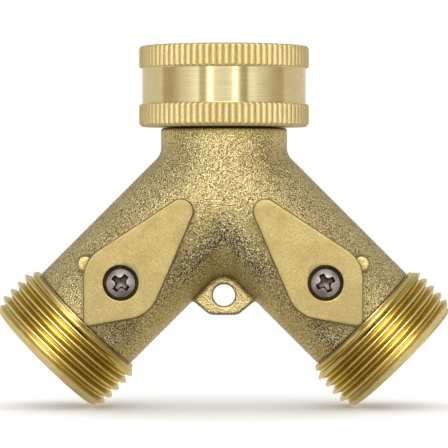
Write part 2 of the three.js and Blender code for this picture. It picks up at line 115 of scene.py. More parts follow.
NUT_RELIEF_R = 12.4
NUT_THREAD_START = 15.4
KNURL_COUNT = 80
KNURL_DEPTH = 0.42
LEVER_BOTTOM = 12.6
LEVER_EDGE = 0.34
LEVER_REST_TURN = 5.0
COUNTERBORE = (3.1, 13.8)
SQUARE_SOCKET = 4.36
RIB = (6.0, 10.4, 0.7, 11.6)
SCREW_SHANK_R = 1.5
CROWN_R = 5.6
RECESS_REACH = 1.86
RETAINER_SPAN = (CHAMBER[1] + 0.1, 37.7)
SEAT_SPAN = (4.9, 8.2)
SEAT_BORE_R = 5.6
BALL_BORE_R = 5.5
RECESS_TURN = {"left": 1.0, "right": 76.0}
SIDES = {"left": -1, "right": 1}

# ---------------------------------------------------------------------------------------------
# Frames: rows of a 4x4 take a shape's own millimetres to the row's millimetres
# ---------------------------------------------------------------------------------------------

AT_JUNCTION = Matrix.Translation((0, 0, JUNCTION_Z))


def arm_frame(side):
    """+Z out along the arm, Y as the fitting's Y."""
    return AT_JUNCTION @ Matrix.Rotation(math.radians(135) * side, 4, "Y")


def stem_frame(side):
    """Origin on the arm axis at the stem, +Z forwards, +Y towards the neck."""
    to_neck = Vector((-side * ROOT_HALF, 0, ROOT_HALF))
    forwards = Vector((0, -1, 0))
    across = to_neck.cross(forwards)
    made = Matrix((across, to_neck, forwards)).transposed().to_4x4()
    made.translation = to_neck * -STEM_STATION
    return AT_JUNCTION @ made


def lever_frame(side):
    return stem_frame(side) @ Matrix.Rotation(math.radians(-side * LEVER_REST_TURN), 4, "Z")


# ---------------------------------------------------------------------------------------------
# Mesh helpers
# ---------------------------------------------------------------------------------------------

def piece(name, shape, place, material, body, replaces=(), sharp=None):
    """A closed mesh in its own millimetres, put in the row frame in metres, riding on a body."""
    points, faces = shape
    matrix = np.array(place)
    world = (np.asarray(points, float) @ matrix[:3, :3].T + matrix[:3, 3]) * MM
    mesh = bpy.data.meshes.new(name)
    mesh.from_pydata(world.tolist(), [], [list(f) for f in faces])
    mesh.validate(verbose=False)
    made = bpy.data.objects.new(name, mesh)
    bpy.context.scene.collection.objects.link(made)
    tidy_mesh(made)
    mesh.materials.append(material)
    mesh.shade_smooth()
    if sharp is not None:
        mesh.set_sharp_from_angle(angle=math.radians(sharp))
    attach(made, body)
    if replaces:
        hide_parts(*replaces)
    return made


def tidy_mesh(made):
    """Welds doubled points, drops collapsed faces and turns every face outwards."""
    b = bmesh.new()
    b.from_mesh(made.data)
    bmesh.ops.remove_doubles(b, verts=b.verts, dist=1e-7)
    bmesh.ops.dissolve_degenerate(b, edges=b.edges, dist=1e-8)
    bmesh.ops.recalc_face_normals(b, faces=b.faces)
    b.to_mesh(made.data)
    b.free()


def arc(centre, radius, start, stop, steps):
    """Points round part of a circle in a profile plane, angles in degrees."""
    angles = np.radians(np.linspace(start, stop, steps + 1))
    return [(centre[0] + radius * math.cos(a), centre[1] + radius * math.sin(a)) for a in angles]


def softened(corners, steps=4):
    """A closed profile with its (r, z, radius) corners rounded; a radius of 0 stays sharp. A
    point just past each end of a rounded corner keeps the shading of the flats flat."""
    made = []
    for i, (x, y, radius) in enumerate(corners):
        here = Vector((x, y))
        if radius == 0:
            made.append((x, y))
            continue
        back = (Vector(corners[i - 1][:2]) - here).normalized()
        ahead = (Vector(corners[(i + 1) % len(corners)][:2]) - here).normalized()
        half = back.angle(ahead) / 2
        centre = here + (back + ahead).normalized() * radius / math.sin(half)
        first = here + back * radius / math.tan(half) - centre
        last = here + ahead * radius / math.tan(half) - centre
        turn = math.remainder(math.atan2(last.y, last.x) - math.atan2(first.y, first.x), math.tau)
        held = min(radius / 2, 0.08)
        made.append(tuple(centre + first + back * held))
        for step in range(steps + 1):
            a = math.atan2(first.y, first.x) + turn * step / steps
            made.append((centre.x + radius * math.cos(a), centre.y + radius * math.sin(a)))
        made.append(tuple(centre + last + ahead * held))
    return made


def skin(rows, closed_profile=True):
    """Faces over rows of points: each row is one profile, and the last row meets the first."""
    count, size = rows.shape[:2]
    faces = []
    spans = size if closed_profile else size - 1
    for i in range(count):
        a, b = i * size, (i + 1) % count * size
        for j in range(spans):
            k = (j + 1) % size
            faces.append((a + j, b + j, b + k, a + k))
    return faces


def lathe(profile, sides=128):
    """Points and faces of a closed (radius, height) profile turned about +Z from -Y."""
    angles = np.linspace(0, math.tau, sides, endpoint=False)
    r, z = np.array(profile, float).T
    rows = np.stack([np.outer(np.sin(angles), r), np.outer(-np.cos(angles), r),
                     np.tile(z, (sides, 1))], axis=-1)
    return rows.reshape(-1, 3), skin(rows)


def thread_profile(window=0.1, per_bend=5):
    """Heights and radii over one pitch of a 55 degree thread, with softened crest and root."""
    foot = THREAD_CREST_HALF + (THREAD_MAJOR_R - THREAD_MINOR_R) * THREAD_FLANK
    corners = np.array([-foot, -THREAD_CREST_HALF, THREAD_CREST_HALF, foot])
    shape = [THREAD_MINOR_R, THREAD_MAJOR_R, THREAD_MAJOR_R, THREAD_MINOR_R]
    heights = np.concatenate([c + np.linspace(-window, window, per_bend) for c in corners])
    shifts = np.linspace(-window, window, 9)
    radii = np.mean([np.interp(heights + shift, corners, shape) for shift in shifts], axis=0)
    return heights, radii


def threaded(phase, start, end, envelope, rest, sides=144, outward=True, per_bend=5):
    """Points and faces of a screw thread between two heights, its ridge at the phase height at
    -Y, limited by an envelope of (height, radius) points. rest(angle) is the closed remainder
    of the profile, as (radius, height) points with as many at every angle."""
    samples, radius = thread_profile(per_bend=per_bend)
    first = math.floor((start - phase) / PITCH) - 1
    last = math.ceil((end - phase) / PITCH) + 1
    heights = np.concatenate([samples + phase + PITCH * k for k in range(first, last + 1)])
    radii = np.tile(radius, last + 1 - first)
    limit_z, limit_r = np.array(envelope, float).T
    rows = []
    for a in np.linspace(0, math.tau, sides, endpoint=False):
        z = np.clip(heights + PITCH * a / math.tau, start, end)
        limit = np.interp(z, limit_z, limit_r)
        r = np.minimum(radii, limit) if outward else np.maximum(radii, limit)
        r = np.where((z <= start) | (z >= end), limit, r)
        rest_r, rest_z = np.array(rest(a), float).T
        r, z = np.concatenate([r, rest_r]), np.concatenate([z, rest_z])
        rows.append(np.stack([r * math.sin(a), -r * math.cos(a), z], axis=-1))
    rows = np.array(rows)
    size, helical = rows.shape[1], len(heights)
    faces = []
    for i in range(sides):
        for j in range(size):
            k = (j + 1) % size
            after = [(i + 1) * size + j, (i + 1) * size + k]
            if i == sides - 1:
                after = [min(n + len(samples), helical - 1) if n < helical else n for n in (j, k)]
            faces.append((i * size + j, after[0], after[1], i * size + k))
    return rows.reshape(-1, 3), faces


def surface_of(field, low, high, step, polish=3):
    """Points and quads of the zero surface of a signed distance field, by surface nets, each
    point then moved onto the surface itself."""
    axes = [np.arange(a, b + step, step) for a, b in zip(low, high)]
    values = field(*np.meshgrid(*axes, indexing="ij"))
    inside = values < 0
    size = np.array(values.shape) - 1
    corners = [np.array((i, j, k)) for i in (0, 1) for j in (0, 1) for k in (0, 1)]
    total = sum(inside[tuple(slice(c, c + n) for c, n in zip(corner, size))].astype(np.int8)
                for corner in corners)
    active = (total > 0) & (total < 8)
    number = np.full(active.shape, -1)
    number[active] = np.arange(active.sum())
    cells = np.argwhere(active)
    sums, hits = np.zeros(cells.shape), np.zeros(len(cells))
    for a in corners:
        for axis in np.flatnonzero(a == 0):
            b = a.copy()
            b[axis] = 1
            va, vb = values[tuple((cells + a).T)], values[tuple((cells + b).T)]
            crossed = (va < 0) != (vb < 0)
            share = va[crossed] / (va[crossed] - vb[crossed])
            sums[crossed] += a + share[:, None] * (b - a)
            hits += crossed
    points = np.array(low) + (cells + sums / hits[:, None]) * step
    faces = []
    for axis in range(3):
        u, v = (axis + 1) % 3, (axis + 2) % 3
        near = [slice(1, -1)] * 3
        far = [slice(1, -1)] * 3
        near[axis], far[axis] = slice(0, -1), slice(1, None)
        here, there = inside[tuple(near)], inside[tuple(far)]
        for rising in (True, False):
            at = np.argwhere(here & ~there if rising else there & ~here)
            at[:, u] += 1
            at[:, v] += 1
            quad = []
            for du, dv in ((-1, -1), (0, -1), (0, 0), (-1, 0)):
                cell = at.copy()
                cell[:, u] += du
                cell[:, v] += dv
                quad.append(number[tuple(cell.T)])
            faces.append(np.array(quad if rising else quad[::-1]).T)
    for _ in range(polish):
        points = points - settle(field, points)
    return points, np.concatenate(faces)


def settle(field, points, reach=0.002):
    """The step that takes each point to the zero surface of a field."""
    steps = np.eye(3) * reach
    slope = np.array([field(*(points + d).T) - field(*(points - d).T) for d in steps]).T / (2 * reach)
    steepness = np.maximum((slope ** 2).sum(1), 1e-3)
    return np.clip(field(*points.T) / steepness, -0.3, 0.3)[:, None] * slope


def merge(a, b, radius):
    """Union of two fields with a round fillet; the radius may vary from point to point."""
    lift = np.hypot(np.maximum(radius - a, 0), np.maximum(radius - b, 0))
    return np.maximum(radius, np.minimum(a, b)) - lift


def overlap(a, b, radius):
    """Intersection of two fields with a rounded edge."""
    return -merge(-a, -b, radius)


def capsule(x, y, z, direction):
    """Distance outside a tube from the junction along a direction, and its unit normal."""
    along = np.maximum(x * direction[0] + y * direction[1] + z * direction[2], 0)
    away = [x - along * direction[0], y - along * direction[1], z - along * direction[2]]
    length = np.sqrt(sum(c * c for c in away)) + 1e-9
    return length - TUBE_R, [c / length for c in away]


def tube_fillet(a, b, fillet):
    """Union of two tubes with a rolling-ball fillet, which fades where they are tangent."""
    cosine = np.clip(sum(p * q for p, q in zip(a[1], b[1])), -1, 1)
    radius = fillet * (1 - np.sqrt((1 + cosine) / 2)) / (1 - ROOT_HALF)
    return merge(a[0], b[0], np.maximum(radius, 1e-4))


ARM_FILLET = 3.4
NECK_FILLET = 3.0
BOSS_FILLET = 0.9
POST_FILLET = 0.5
WEB_FILLET = 0.45
WEB_EDGE = 0.3
FORGING_END = 35.05
FORGING_EDGE = 0.25
NECK_EDGE = 0.5


def round_bar(x, y, z, centre, radius, top, edge):
    """An upright bar with a rounded top edge."""
    around = np.hypot(x - centre[0], y - centre[1]) - radius
    return overlap(around, z - top, edge)


def web_field(x, y, z):
    slope = Vector((-2.4, -2.9)).normalized()
    flank = slope.x * (np.abs(x) * -1 + 5.4) + slope.y * (z + 21.7)
    outline = overlap(overlap(flank, -24.1 - z, 0.4), z + 14.0, 0.1)
    outline = overlap(outline, np.abs(x) - 8.0, 0.1)
    hole = HANG_HOLE[1] - np.hypot(x, z - HANG_HOLE[0])
    slab = np.abs(y) - WEB_HALF
    return overlap(overlap(outline, slab, WEB_EDGE), hole, 0.25)


def forging_field(x, y, z):
    """The forged body about the junction: tubes, bosses, stop posts and web, less its bores."""
    neck = capsule(x, y, z, (0, 0, 1))
    arms = {side: capsule(x, y, z, (side * ROOT_HALF, 0, -ROOT_HALF)) for side in (-1, 1)}
    solid = tube_fillet(arms[-1], arms[1], ARM_FILLET)
    for arm in arms.values():
        solid = np.minimum(solid, tube_fillet(neck, arm, NECK_FILLET))
    solid = merge(solid, web_field(x, y, z), WEB_FILLET)
    bores = np.hypot(x, y) - INLET_BORE_R
    bores = np.maximum(bores, -z)
    for side in (-1, 1):
        along = (side * x - z) * ROOT_HALF
        inward = (-side * x - z) * ROOT_HALF
        toward_neck = STEM_STATION - along
        forward = -y
        boss = round_bar(inward, toward_neck, forward, (0, 0), BOSS_R, BOSS_TOP, 0.2)
        solid = merge(solid, np.maximum(boss, -forward), BOSS_FILLET)
        for post in (OPEN_POST, CLOSED_POST):
            stud = round_bar(inward, toward_neck, forward, (post[1], post[0]), POST_R, POST_TOP, 0.3)
            solid = merge(solid, np.maximum(stud, -forward), POST_FILLET)
        around = np.hypot(y, inward)
        bore = np.maximum(around - ARM_BORE_R, -along)
        chamber = np.maximum(around - CHAMBER[2], CHAMBER[0] - along)
        stem_hole = np.maximum(np.hypot(inward, toward_neck) - STEM_HOLE_R, -forward)
        bores = np.minimum(np.minimum(bores, bore), np.minimum(chamber, stem_hole))
        outlet = np.where(side * x > 0, along - FORGING_END, -9.0)
        solid = overlap(solid, outlet, FORGING_EDGE)
    solid = overlap(solid, z - NECK_TOP, NECK_EDGE)
    return np.maximum(solid, -bores)


# ---------------------------------------------------------------------------------------------
# Materials
# ---------------------------------------------------------------------------------------------

# Strength of the painted shade in the valley, by distance along an arm and across it towards the crotch.
VALLEY_ALONG = [(2.5, 0.0), (6.0, 1.0), (16.0, 0.9), (22.0, 0.25), (27.0, 0.2), (31.0, 0.75)]
VALLEY_ACROSS = [(2.7, 0.0), (6.0, 1.0), (7.2, 1.0), (8.7, 0.2), (11.0, 0.0)]
# Strength of the shade by how far a surface turns from the eye, on the outer sides and the inner.
OUTER_SHADE = [(0.01, 0.0), (0.05, 0.17), (0.1, 0.31), (0.19, 0.42), (0.26, 0.28), (0.37, 0.14),
               (0.48, 0.2), (0.92, 0.62)]
INNER_SHADE = [(0.3, 0.0), (0.92, 0.5)]


class Nodes:
    """A material's node tree with short calls for the nodes the finishes share."""

    def __init__(self, name="", tree=None):
        """A new material's tree, or an existing tree emptied."""
        self.material = None if tree else bpy.data.materials.new(name)
        if self.material:
            self.material.use_nodes = True
        self.tree = tree or self.material.node_tree
        self.tree.nodes.clear()
        if self.material:
            self.out = self.add("ShaderNodeOutputMaterial")
            self.surface = self.add("ShaderNodeBsdfPrincipled")
            self.link(self.surface.outputs["BSDF"], self.out.inputs["Surface"])
            self.position = self.add("ShaderNodeTexCoord").outputs["Object"]

    def add(self, kind, **settings):
        node = self.tree.nodes.new(kind)
        for key, value in settings.items():
            setattr(node, key, value)
        return node

    def link(self, source, target):
        self.tree.links.new(source, target)

    def feed(self, socket, value):
        if isinstance(value, bpy.types.NodeSocket):
            self.link(value, socket)
        elif socket.type == "RGBA":
            socket.default_value = (*value, 1)
        else:
            socket.default_value = value

    def set(self, **values):
        for key, value in values.items():
            self.feed(self.surface.inputs[key.replace("_", " ")], value)

    def placed(self, matrix):
        """Object coordinates in another frame, in millimetres."""
        inverse = matrix.inverted()
        node = self.add("ShaderNodeMapping", vector_type="POINT")
        node.inputs["Scale"].default_value = (1 / MM,) * 3
        node.inputs["Rotation"].default_value = inverse.to_euler()
        node.inputs["Location"].default_value = inverse.translation
        self.link(self.position, node.inputs["Vector"])
        return node.outputs["Vector"]

    def noise(self, vector, size, detail=2.0, rough=0.5):
        """Noise whose cells are about the given size in the vector's units."""
        node = self.add("ShaderNodeTexNoise")
        node.inputs["Scale"].default_value = 1 / size
        node.inputs["Detail"].default_value = detail
        node.inputs["Roughness"].default_value = rough
        self.link(vector, node.inputs["Vector"])
        return node.outputs["Fac"]

    def split(self, vector):
        node = self.add("ShaderNodeSeparateXYZ")
        self.link(vector, node.inputs[0])
        return node

    def radius(self, vector):
        """Distance from the Z axis."""
        node = self.add("ShaderNodeVectorMath", operation="LENGTH")
        self.link(self.stretch(vector, (1, 1, 0)), node.inputs[0])
        return node.outputs["Value"]

    def stretch(self, vector, scale):
        node = self.add("ShaderNodeVectorMath", operation="MULTIPLY")
        self.link(vector, node.inputs[0])
        node.inputs[1].default_value = scale
        return node.outputs[0]

    def ramp(self, factor, *stops):
        """Colour ramp; each stop is (place, colour) or (place, grey)."""
        node = self.add("ShaderNodeValToRGB")
        while len(node.color_ramp.elements) < len(stops):
            node.color_ramp.elements.new(0.5)
        for element, (place, colour) in zip(node.color_ramp.elements, stops):
            element.position = place
            grey = isinstance(colour, (int, float))
            element.color = (colour,) * 3 + (1,) if grey else tuple(colour) + (1,)
        self.link(factor, node.inputs["Fac"])
        return node.outputs["Color"]

    def math(self, operation, a, b=0.0, c=0.0):
        node = self.add("ShaderNodeMath", operation=operation)
        for socket, value in zip(node.inputs, (a, b, c)):
            self.feed(socket, value)
        return node.outputs[0]

    def mix(self, factor, a, b, blend="MIX"):
        node = self.add("ShaderNodeMix", data_type="RGBA", blend_type=blend,
                        clamp_result=blend == "MULTIPLY")
        self.feed(node.inputs[0], factor)
        for socket, value in zip(node.inputs[6:8], (a, b)):
            self.feed(socket, value)
        return node.outputs[2]

    def bump(self, height, strength, distance, under=None):
        node = self.add("ShaderNodeBump")
        node.inputs["Strength"].default_value = strength
        node.inputs["Distance"].default_value = distance
        self.link(height, node.inputs["Height"])
        if under is not None:
            self.link(under, node.inputs["Normal"])
        return node.outputs["Normal"]

    def crevice_shade(self, reach):
        """1 in the open, falling to 0 deep in gaps narrower than the reach in millimetres; a mask for painted
        shade in gaps.
        """
        shade = self.add("ShaderNodeAmbientOcclusion", samples=6)
        shade.inputs["Distance"].default_value = reach * MM
        return self.ramp(shade.outputs["AO"], (0.25, 0.0), (0.85, 1.0))

    def from_stem(self, split, toward_neck=0.0, inward=0.0):
        """Distance seen from the front to a spot by the nearer stem, in millimetres."""
        across = (STEM_STATION - toward_neck - inward) * ROOT_HALF
        down = (STEM_STATION - toward_neck + inward) * ROOT_HALF
        dx = self.math("SUBTRACT", self.math("ABSOLUTE", split.outputs["X"]), across)
        dz = self.math("ADD", split.outputs["Z"], down)
        return self.math("SQRT", self.math("ADD", self.math("MULTIPLY", dx, dx),
                                           self.math("MULTIPLY", dz, dz)))

    def on_posts(self, at):
        """1 on the tops of the lever stop posts, from junction coordinates in millimetres."""
        split = self.split(at)
        found = 0.0
        for post in (OPEN_POST, CLOSED_POST):
            close = self.math("LESS_THAN", self.from_stem(split, *post), POST_R + 0.05)
            found = self.math("MAXIMUM", close, found)
        proud = self.math("LESS_THAN", split.outputs["Y"], 0.6 - POST_TOP)
        return self.math("MULTIPLY", found, proud)

    def arm_place(self, at):
        """Shares of the way out along the nearer arm and across it towards the crotch."""
        split = self.split(at)
        aside = self.math("ABSOLUTE", split.outputs["X"])
        down = self.math("MULTIPLY", split.outputs["Z"], -1.0)
        along = self.math("MULTIPLY", self.math("ADD", down, aside), ROOT_HALF / OUTLET_END)
        inward = self.math("MULTIPLY", self.math("SUBTRACT", down, aside), ROOT_HALF / TUBE_R)
        return along, inward

    def in_valley(self, along, inward):
        """Up to 1 in the bands that face the crotch, along each arm's inner front and back."""
        span = self.ramp(along, *[(place / OUTLET_END, level) for place, level in VALLEY_ALONG])
        band = self.ramp(inward, *[(place / TUBE_R, level) for place, level in VALLEY_ACROSS])
        return self.math("MULTIPLY", span, band)

    def on_web(self, at):
        """1 on the flat faces of the hanging web."""
        split = self.split(at)
        low = self.math("LESS_THAN", split.outputs["Z"], -16.2)
        thin = self.math("LESS_THAN", self.math("ABSOLUTE", split.outputs["Y"]), WEB_HALF + 0.05)
        return self.math("MULTIPLY", self.math("MULTIPLY", low, thin), 0.9)


def srgb(r, g, b):
    """Linear colour of an 8-bit display colour."""
    def one(c):
        c /= 255
        return c / 12.92 if c <= 0.04045 else ((c + 0.055) / 1.055) ** 2.4
    return one(r), one(g), one(b)


def cast_brass():
    """Shot-blasted forging: dense pale and dark grains, smoother on the stop posts and the web.
    Painted shade darkens the valley between the arms, the gaps and the faces turning from the eye; painted light
    brightens the neck's top under the nut."""
    n = Nodes("cast_brass")
    at = n.placed(AT_JUNCTION)
    grain = n.noise(at, 0.27, 2.0, 0.6)
    fine = n.noise(n.stretch(at, (1.0, -1.0, 1.0)), 0.18, 1.0, 0.5)
    patch = n.noise(at, 6.0, 2.0, 0.5)
    speck = n.math("ADD", n.math("MULTIPLY", grain, 0.5), n.math("MULTIPLY", fine, 0.5))
    tone = n.ramp(speck, (0.39, srgb(84, 66, 36)), (0.46, srgb(202, 178, 115)),
                  (0.54, srgb(232, 212, 150)), (0.61, srgb(255, 248, 206)))
    tone = n.mix(n.ramp(patch, (0.35, 0.0), (0.65, 0.25)), tone, srgb(190, 167, 110))
    # Painted shade: a darker grain tone in the valley between the arms, standing in for the dark it reflects.
    valley_shade = n.ramp(speck, (0.43, srgb(26, 19, 8)), (0.49, srgb(122, 102, 62)),
                  (0.54, srgb(212, 196, 148)), (0.59, srgb(255, 250, 222)))
    along, inward = n.arm_place(at)
    tone = n.mix(n.in_valley(along, inward), tone, valley_shade)
    posts, web = n.on_posts(at), n.on_web(at)
    smooth = n.math("MAXIMUM", posts, web)
    tone = n.mix(n.math("MULTIPLY", posts, 0.85), tone, srgb(178, 160, 108))
    tone = n.mix(n.math("MULTIPLY", web, 0.8), tone, srgb(158, 144, 96))
    # Painted light: the neck's upper part is brightened against the shade the nut casts on it.
    neck_top_light = n.math("DIVIDE", n.split(at).outputs["Z"], NECK_TOP)
    tone = n.mix(n.ramp(neck_top_light, (0.6, 0.0), (0.9, 1.0)), tone, (1.35, 1.35, 1.3), "MULTIPLY")
    rim = n.add("ShaderNodeLayerWeight")
    rim.inputs["Blend"].default_value = 0.35
    turned = rim.outputs["Facing"]
    shade = n.mix(n.ramp(inward, (0.1, 0.0), (0.35, 1.0)), n.ramp(turned, *OUTER_SHADE),
                  n.ramp(turned, *INNER_SHADE))
    tone = n.mix(shade, tone, n.ramp(speck, (0.44, 0.0), (0.57, 0.5)), "MULTIPLY")
    # Painted shade in gaps and in a soft band round the levers, where their shadow falls on the body.
    tone = n.mix(n.crevice_shade(1.5), srgb(90, 70, 34), tone)
    height = n.math("ADD", grain, n.math("MULTIPLY", fine, 0.5))
    height = n.math("MULTIPLY", height, n.math("SUBTRACT", 1.0, n.math("MULTIPLY", smooth, 0.7)))
    n.set(Base_Color=tone, Metallic=1.0, Roughness=n.ramp(speck, (0.3, 0.4), (0.7, 0.26)),
          Normal=n.bump(height, 1.0, 0.28 * MM))
    return n.material


def plain_brass():
    """Turned brass inside the fitting: fine rings round the neck's axis, with painted shade in the gaps."""
    n = Nodes("plain_brass")
    at = n.placed(AT_JUNCTION)
    rings = n.add("ShaderNodeCombineXYZ")
    n.link(n.split(at).outputs["Z"], rings.inputs["Z"])
    n.link(n.radius(at), rings.inputs["X"])
    lines = n.noise(rings.outputs[0], 0.09, 1.0, 0.5)
    smear = n.noise(n.stretch(at, (0.6, 0.6, 2.5)), 1.6, 3.0, 0.6)
    tone = n.mix(n.ramp(smear, (0.35, 0.0), (0.75, 0.6)), srgb(222, 188, 104), srgb(190, 150, 66))
    # Painted shade in the gaps.
    tone = n.mix(n.crevice_shade(1.2), srgb(44, 31, 12), tone)
    rough = n.math("ADD", n.math("MULTIPLY", lines, 0.1), 0.28)
    n.set(Base_Color=tone, Metallic=1.0, Roughness=rough, Normal=n.bump(lines, 0.25, 0.02 * MM))
    return n.material


def nut_brass():
    """The nut: a polished waist with fine turning lines between two duller knurled bands."""
    n = Nodes("nut_brass")
    at = n.placed(AT_JUNCTION)
    low, high, _ = WAIST
    middle = n.math("SUBTRACT", n.split(at).outputs["Z"], (low + high) / 2)
    middle = n.math("ABSOLUTE", middle)
    band = n.math("GREATER_THAN", middle, (high - low) / 2 + 0.05)
    lines = n.noise(n.stretch(at, (0.02, 0.02, 1.0)), 0.08, 1.0, 0.5)
    cloud = n.noise(at, 2.2, 3.0, 0.55)
    grain = n.noise(at, 0.22, 2.0, 0.5)
    tone = n.mix(n.ramp(cloud, (0.35, 0.0), (0.7, 0.5)), srgb(240, 223, 174), srgb(230, 210, 154))
    tone = n.mix(n.ramp(lines, (0.4, 0.3), (0.6, 0.0)), tone, srgb(206, 184, 126))
    knurl = n.mix(n.ramp(grain, (0.35, 0.0), (0.65, 1.0)), srgb(203, 186, 130), srgb(218, 201, 151))
    # Painted shade in the knurl grooves and other gaps.
    tone = n.mix(n.crevice_shade(0.5), srgb(172, 150, 94), n.mix(band, tone, knurl))
    rough = n.mix(band, (0.07, 0.07, 0.07), (0.6, 0.6, 0.6))
    height = n.math("ADD", n.math("MULTIPLY", lines, 0.2), n.math("MULTIPLY", grain, band))
    n.set(Base_Color=tone, Metallic=1.0, Roughness=rough, Normal=n.bump(height, 0.6, 0.02 * MM))
    return n.material


def thread_brass(name, place):
    """Cut thread: golden flanks with painted shade towards and in the roots, painted highlights as pale crests and
    roots, and a dull pale band on the end chamfer.
    """
    n = Nodes(name)
    at = n.placed(place)
    reach = n.math("DIVIDE", n.math("SUBTRACT", n.radius(at), THREAD_MINOR_R),
                   THREAD_MAJOR_R - THREAD_MINOR_R)
    along = n.math("DIVIDE", n.split(at).outputs["Z"], OUTLET_END)
    drag = n.noise(n.stretch(at, (0.25, 0.25, 3.0)), 0.5, 2.0, 0.6)
    cloud = n.noise(at, 2.0, 3.0, 0.55)
    tone = n.mix(n.ramp(cloud, (0.35, 0.0), (0.7, 0.7)), srgb(212, 192, 98), srgb(200, 176, 70))
    # Painted shade on the flanks towards the roots.
    tone = n.mix(n.ramp(reach, (0.08, 0.0), (0.14, 1.0), (0.5, 0.0)), tone, srgb(182, 151, 44))
    # Painted highlight: a pale line on the root flat.
    tone = n.mix(n.ramp(reach, (0.0, 0.8), (0.08, 0.0)), tone, srgb(250, 226, 148))
    # Painted highlight: pale crests.
    tone = n.mix(n.ramp(reach, (0.94, 0.0), (1.0, 1.0)), tone, srgb(252, 236, 184))
    end = n.ramp(along, ((OUTLET_END - END_CHAMFER) / OUTLET_END, 0.0),
                 ((OUTLET_END - END_CHAMFER + 0.25) / OUTLET_END, 1.0))
    start = n.ramp(along, ((OUTLET_START + 0.3) / OUTLET_END, 1.0),
                   ((OUTLET_START + 0.7) / OUTLET_END, 0.0))
    dull = n.math("MAXIMUM", end, start)
    tone = n.mix(dull, tone, n.mix(n.ramp(drag, (0.3, 0.0), (0.7, 1.0)), srgb(216, 194, 130),
                                   srgb(242, 225, 170)))
    # Painted shade in the roots.
    tone = n.mix(n.crevice_shade(0.3), srgb(132, 98, 24), tone)
    rough = n.math("ADD", 0.22, n.math("MULTIPLY", dull, 0.2))
    n.set(Base_Color=tone, Metallic=1.0, Roughness=rough, Normal=n.bump(drag, 0.12, 0.03 * MM))
    return n.material


def satin_brass():
    """Fine-blasted lever: an even soft sheen with a mottled grain, with painted shade on its edges and in the
    counterbore.
    """
    n = Nodes("satin_brass")
    at = n.placed(AT_JUNCTION)
    grain = n.noise(at, 0.26, 2.0, 0.6)
    cloud = n.noise(at, 2.4, 3.0, 0.55)
    tone = n.mix(n.ramp(grain, (0.38, 0.0), (0.62, 1.0)), srgb(156, 138, 89), srgb(181, 164, 114))
    tone = n.mix(n.ramp(cloud, (0.35, 0.0), (0.7, 0.5)), tone, srgb(160, 141, 91))
    facing = n.split(n.add("ShaderNodeTexCoord").outputs["Normal"]).outputs["Y"]
    # Painted shade on the lever's edges, which turn away from the front.
    edge_shade = n.ramp(n.math("MULTIPLY", facing, -1.0), (0.5, 0.5), (0.97, 0.0))
    tone = n.mix(edge_shade, tone, srgb(104, 85, 48))
    # Painted shade in the counterbore and other gaps.
    tone = n.mix(n.crevice_shade(1.0), srgb(38, 26, 12), tone)
    n.set(Base_Color=tone, Metallic=1.0, Roughness=n.ramp(cloud, (0.3, 0.5), (0.7, 0.58)),
          Normal=n.bump(grain, 0.5, 0.04 * MM))
    return n.material


def screw_steel():
    """Plated steel with scratches, with painted shade on its upper slope, in the recess and under the head."""
    n = Nodes("screw_steel")
    at = n.placed(AT_JUNCTION)
    scratch = n.noise(n.stretch(at, (1.0, 0.3, 3.0)), 0.4, 4.0, 0.65)
    spot = n.noise(at, 0.25, 2.0, 0.5)
    tone = n.mix(n.ramp(scratch, (0.35, 0.0), (0.7, 1.0)), srgb(134, 125, 119), srgb(190, 180, 174))
    split = n.split(at)
    around = n.from_stem(split)
    crown = n.math("SUBTRACT", SCREW_TOP, n.math("MULTIPLY", n.math("MULTIPLY", around, around),
                                                 0.5 / CROWN_R))
    depth = n.math("ADD", crown, split.outputs["Y"])
    recess = n.math("MULTIPLY", n.ramp(depth, (0.08, 0.0), (0.4, 0.85)),
                    n.math("LESS_THAN", around, RECESS_REACH + 0.1))
    # Painted shade: the dome's upper slope is darkened so it holds no highlight.
    upward_shade = n.split(n.add("ShaderNodeTexCoord").outputs["Normal"]).outputs["Z"]
    tone = n.mix(n.ramp(upward_shade, (0.02, 0.0), (0.28, 0.8)), tone, srgb(78, 73, 70))
    # Painted shade in the cross recess.
    tone = n.mix(recess, tone, srgb(88, 78, 68))
    # Painted shade under the head, in the counterbore.
    tone = n.mix(n.crevice_shade(0.6), srgb(34, 28, 24), tone)
    n.set(Base_Color=tone, Metallic=1.0, Roughness=n.ramp(spot, (0.3, 0.3), (0.7, 0.44)),
          Normal=n.bump(scratch, 0.2, 0.03 * MM))
    return n.material


def chrome():
    n = Nodes("chrome")
    at = n.placed(AT_JUNCTION)
    haze = n.noise(at, 2.0, 3.0, 0.6)
    n.set(Base_Color=srgb(226, 228, 232), Metallic=1.0, Roughness=n.ramp(haze, (0.3, 0.05), (0.7, 0.16)))
    return n.material


def plastic(name, pale, dark, roughness, grain=0.5):
    """Moulded plastic or rubber with a soft mottled skin."""
    n = Nodes(name)
    at = n.placed(AT_JUNCTION)
    skin_grain = n.noise(at, grain, 3.0, 0.6)
    cloud = n.noise(at, 4.0, 2.0, 0.5)
    tone = n.mix(n.ramp(cloud, (0.35, 0.0), (0.65, 1.0)), pale, dark)
    n.set(Base_Color=tone, Metallic=0.0, Roughness=n.math("ADD", n.math("MULTIPLY", skin_grain, 0.2), roughness),
          Normal=n.bump(skin_grain, 0.25, 0.04 * MM))
    return n.material


# ---------------------------------------------------------------------------------------------
# Pieces
# ---------------------------------------------------------------------------------------------

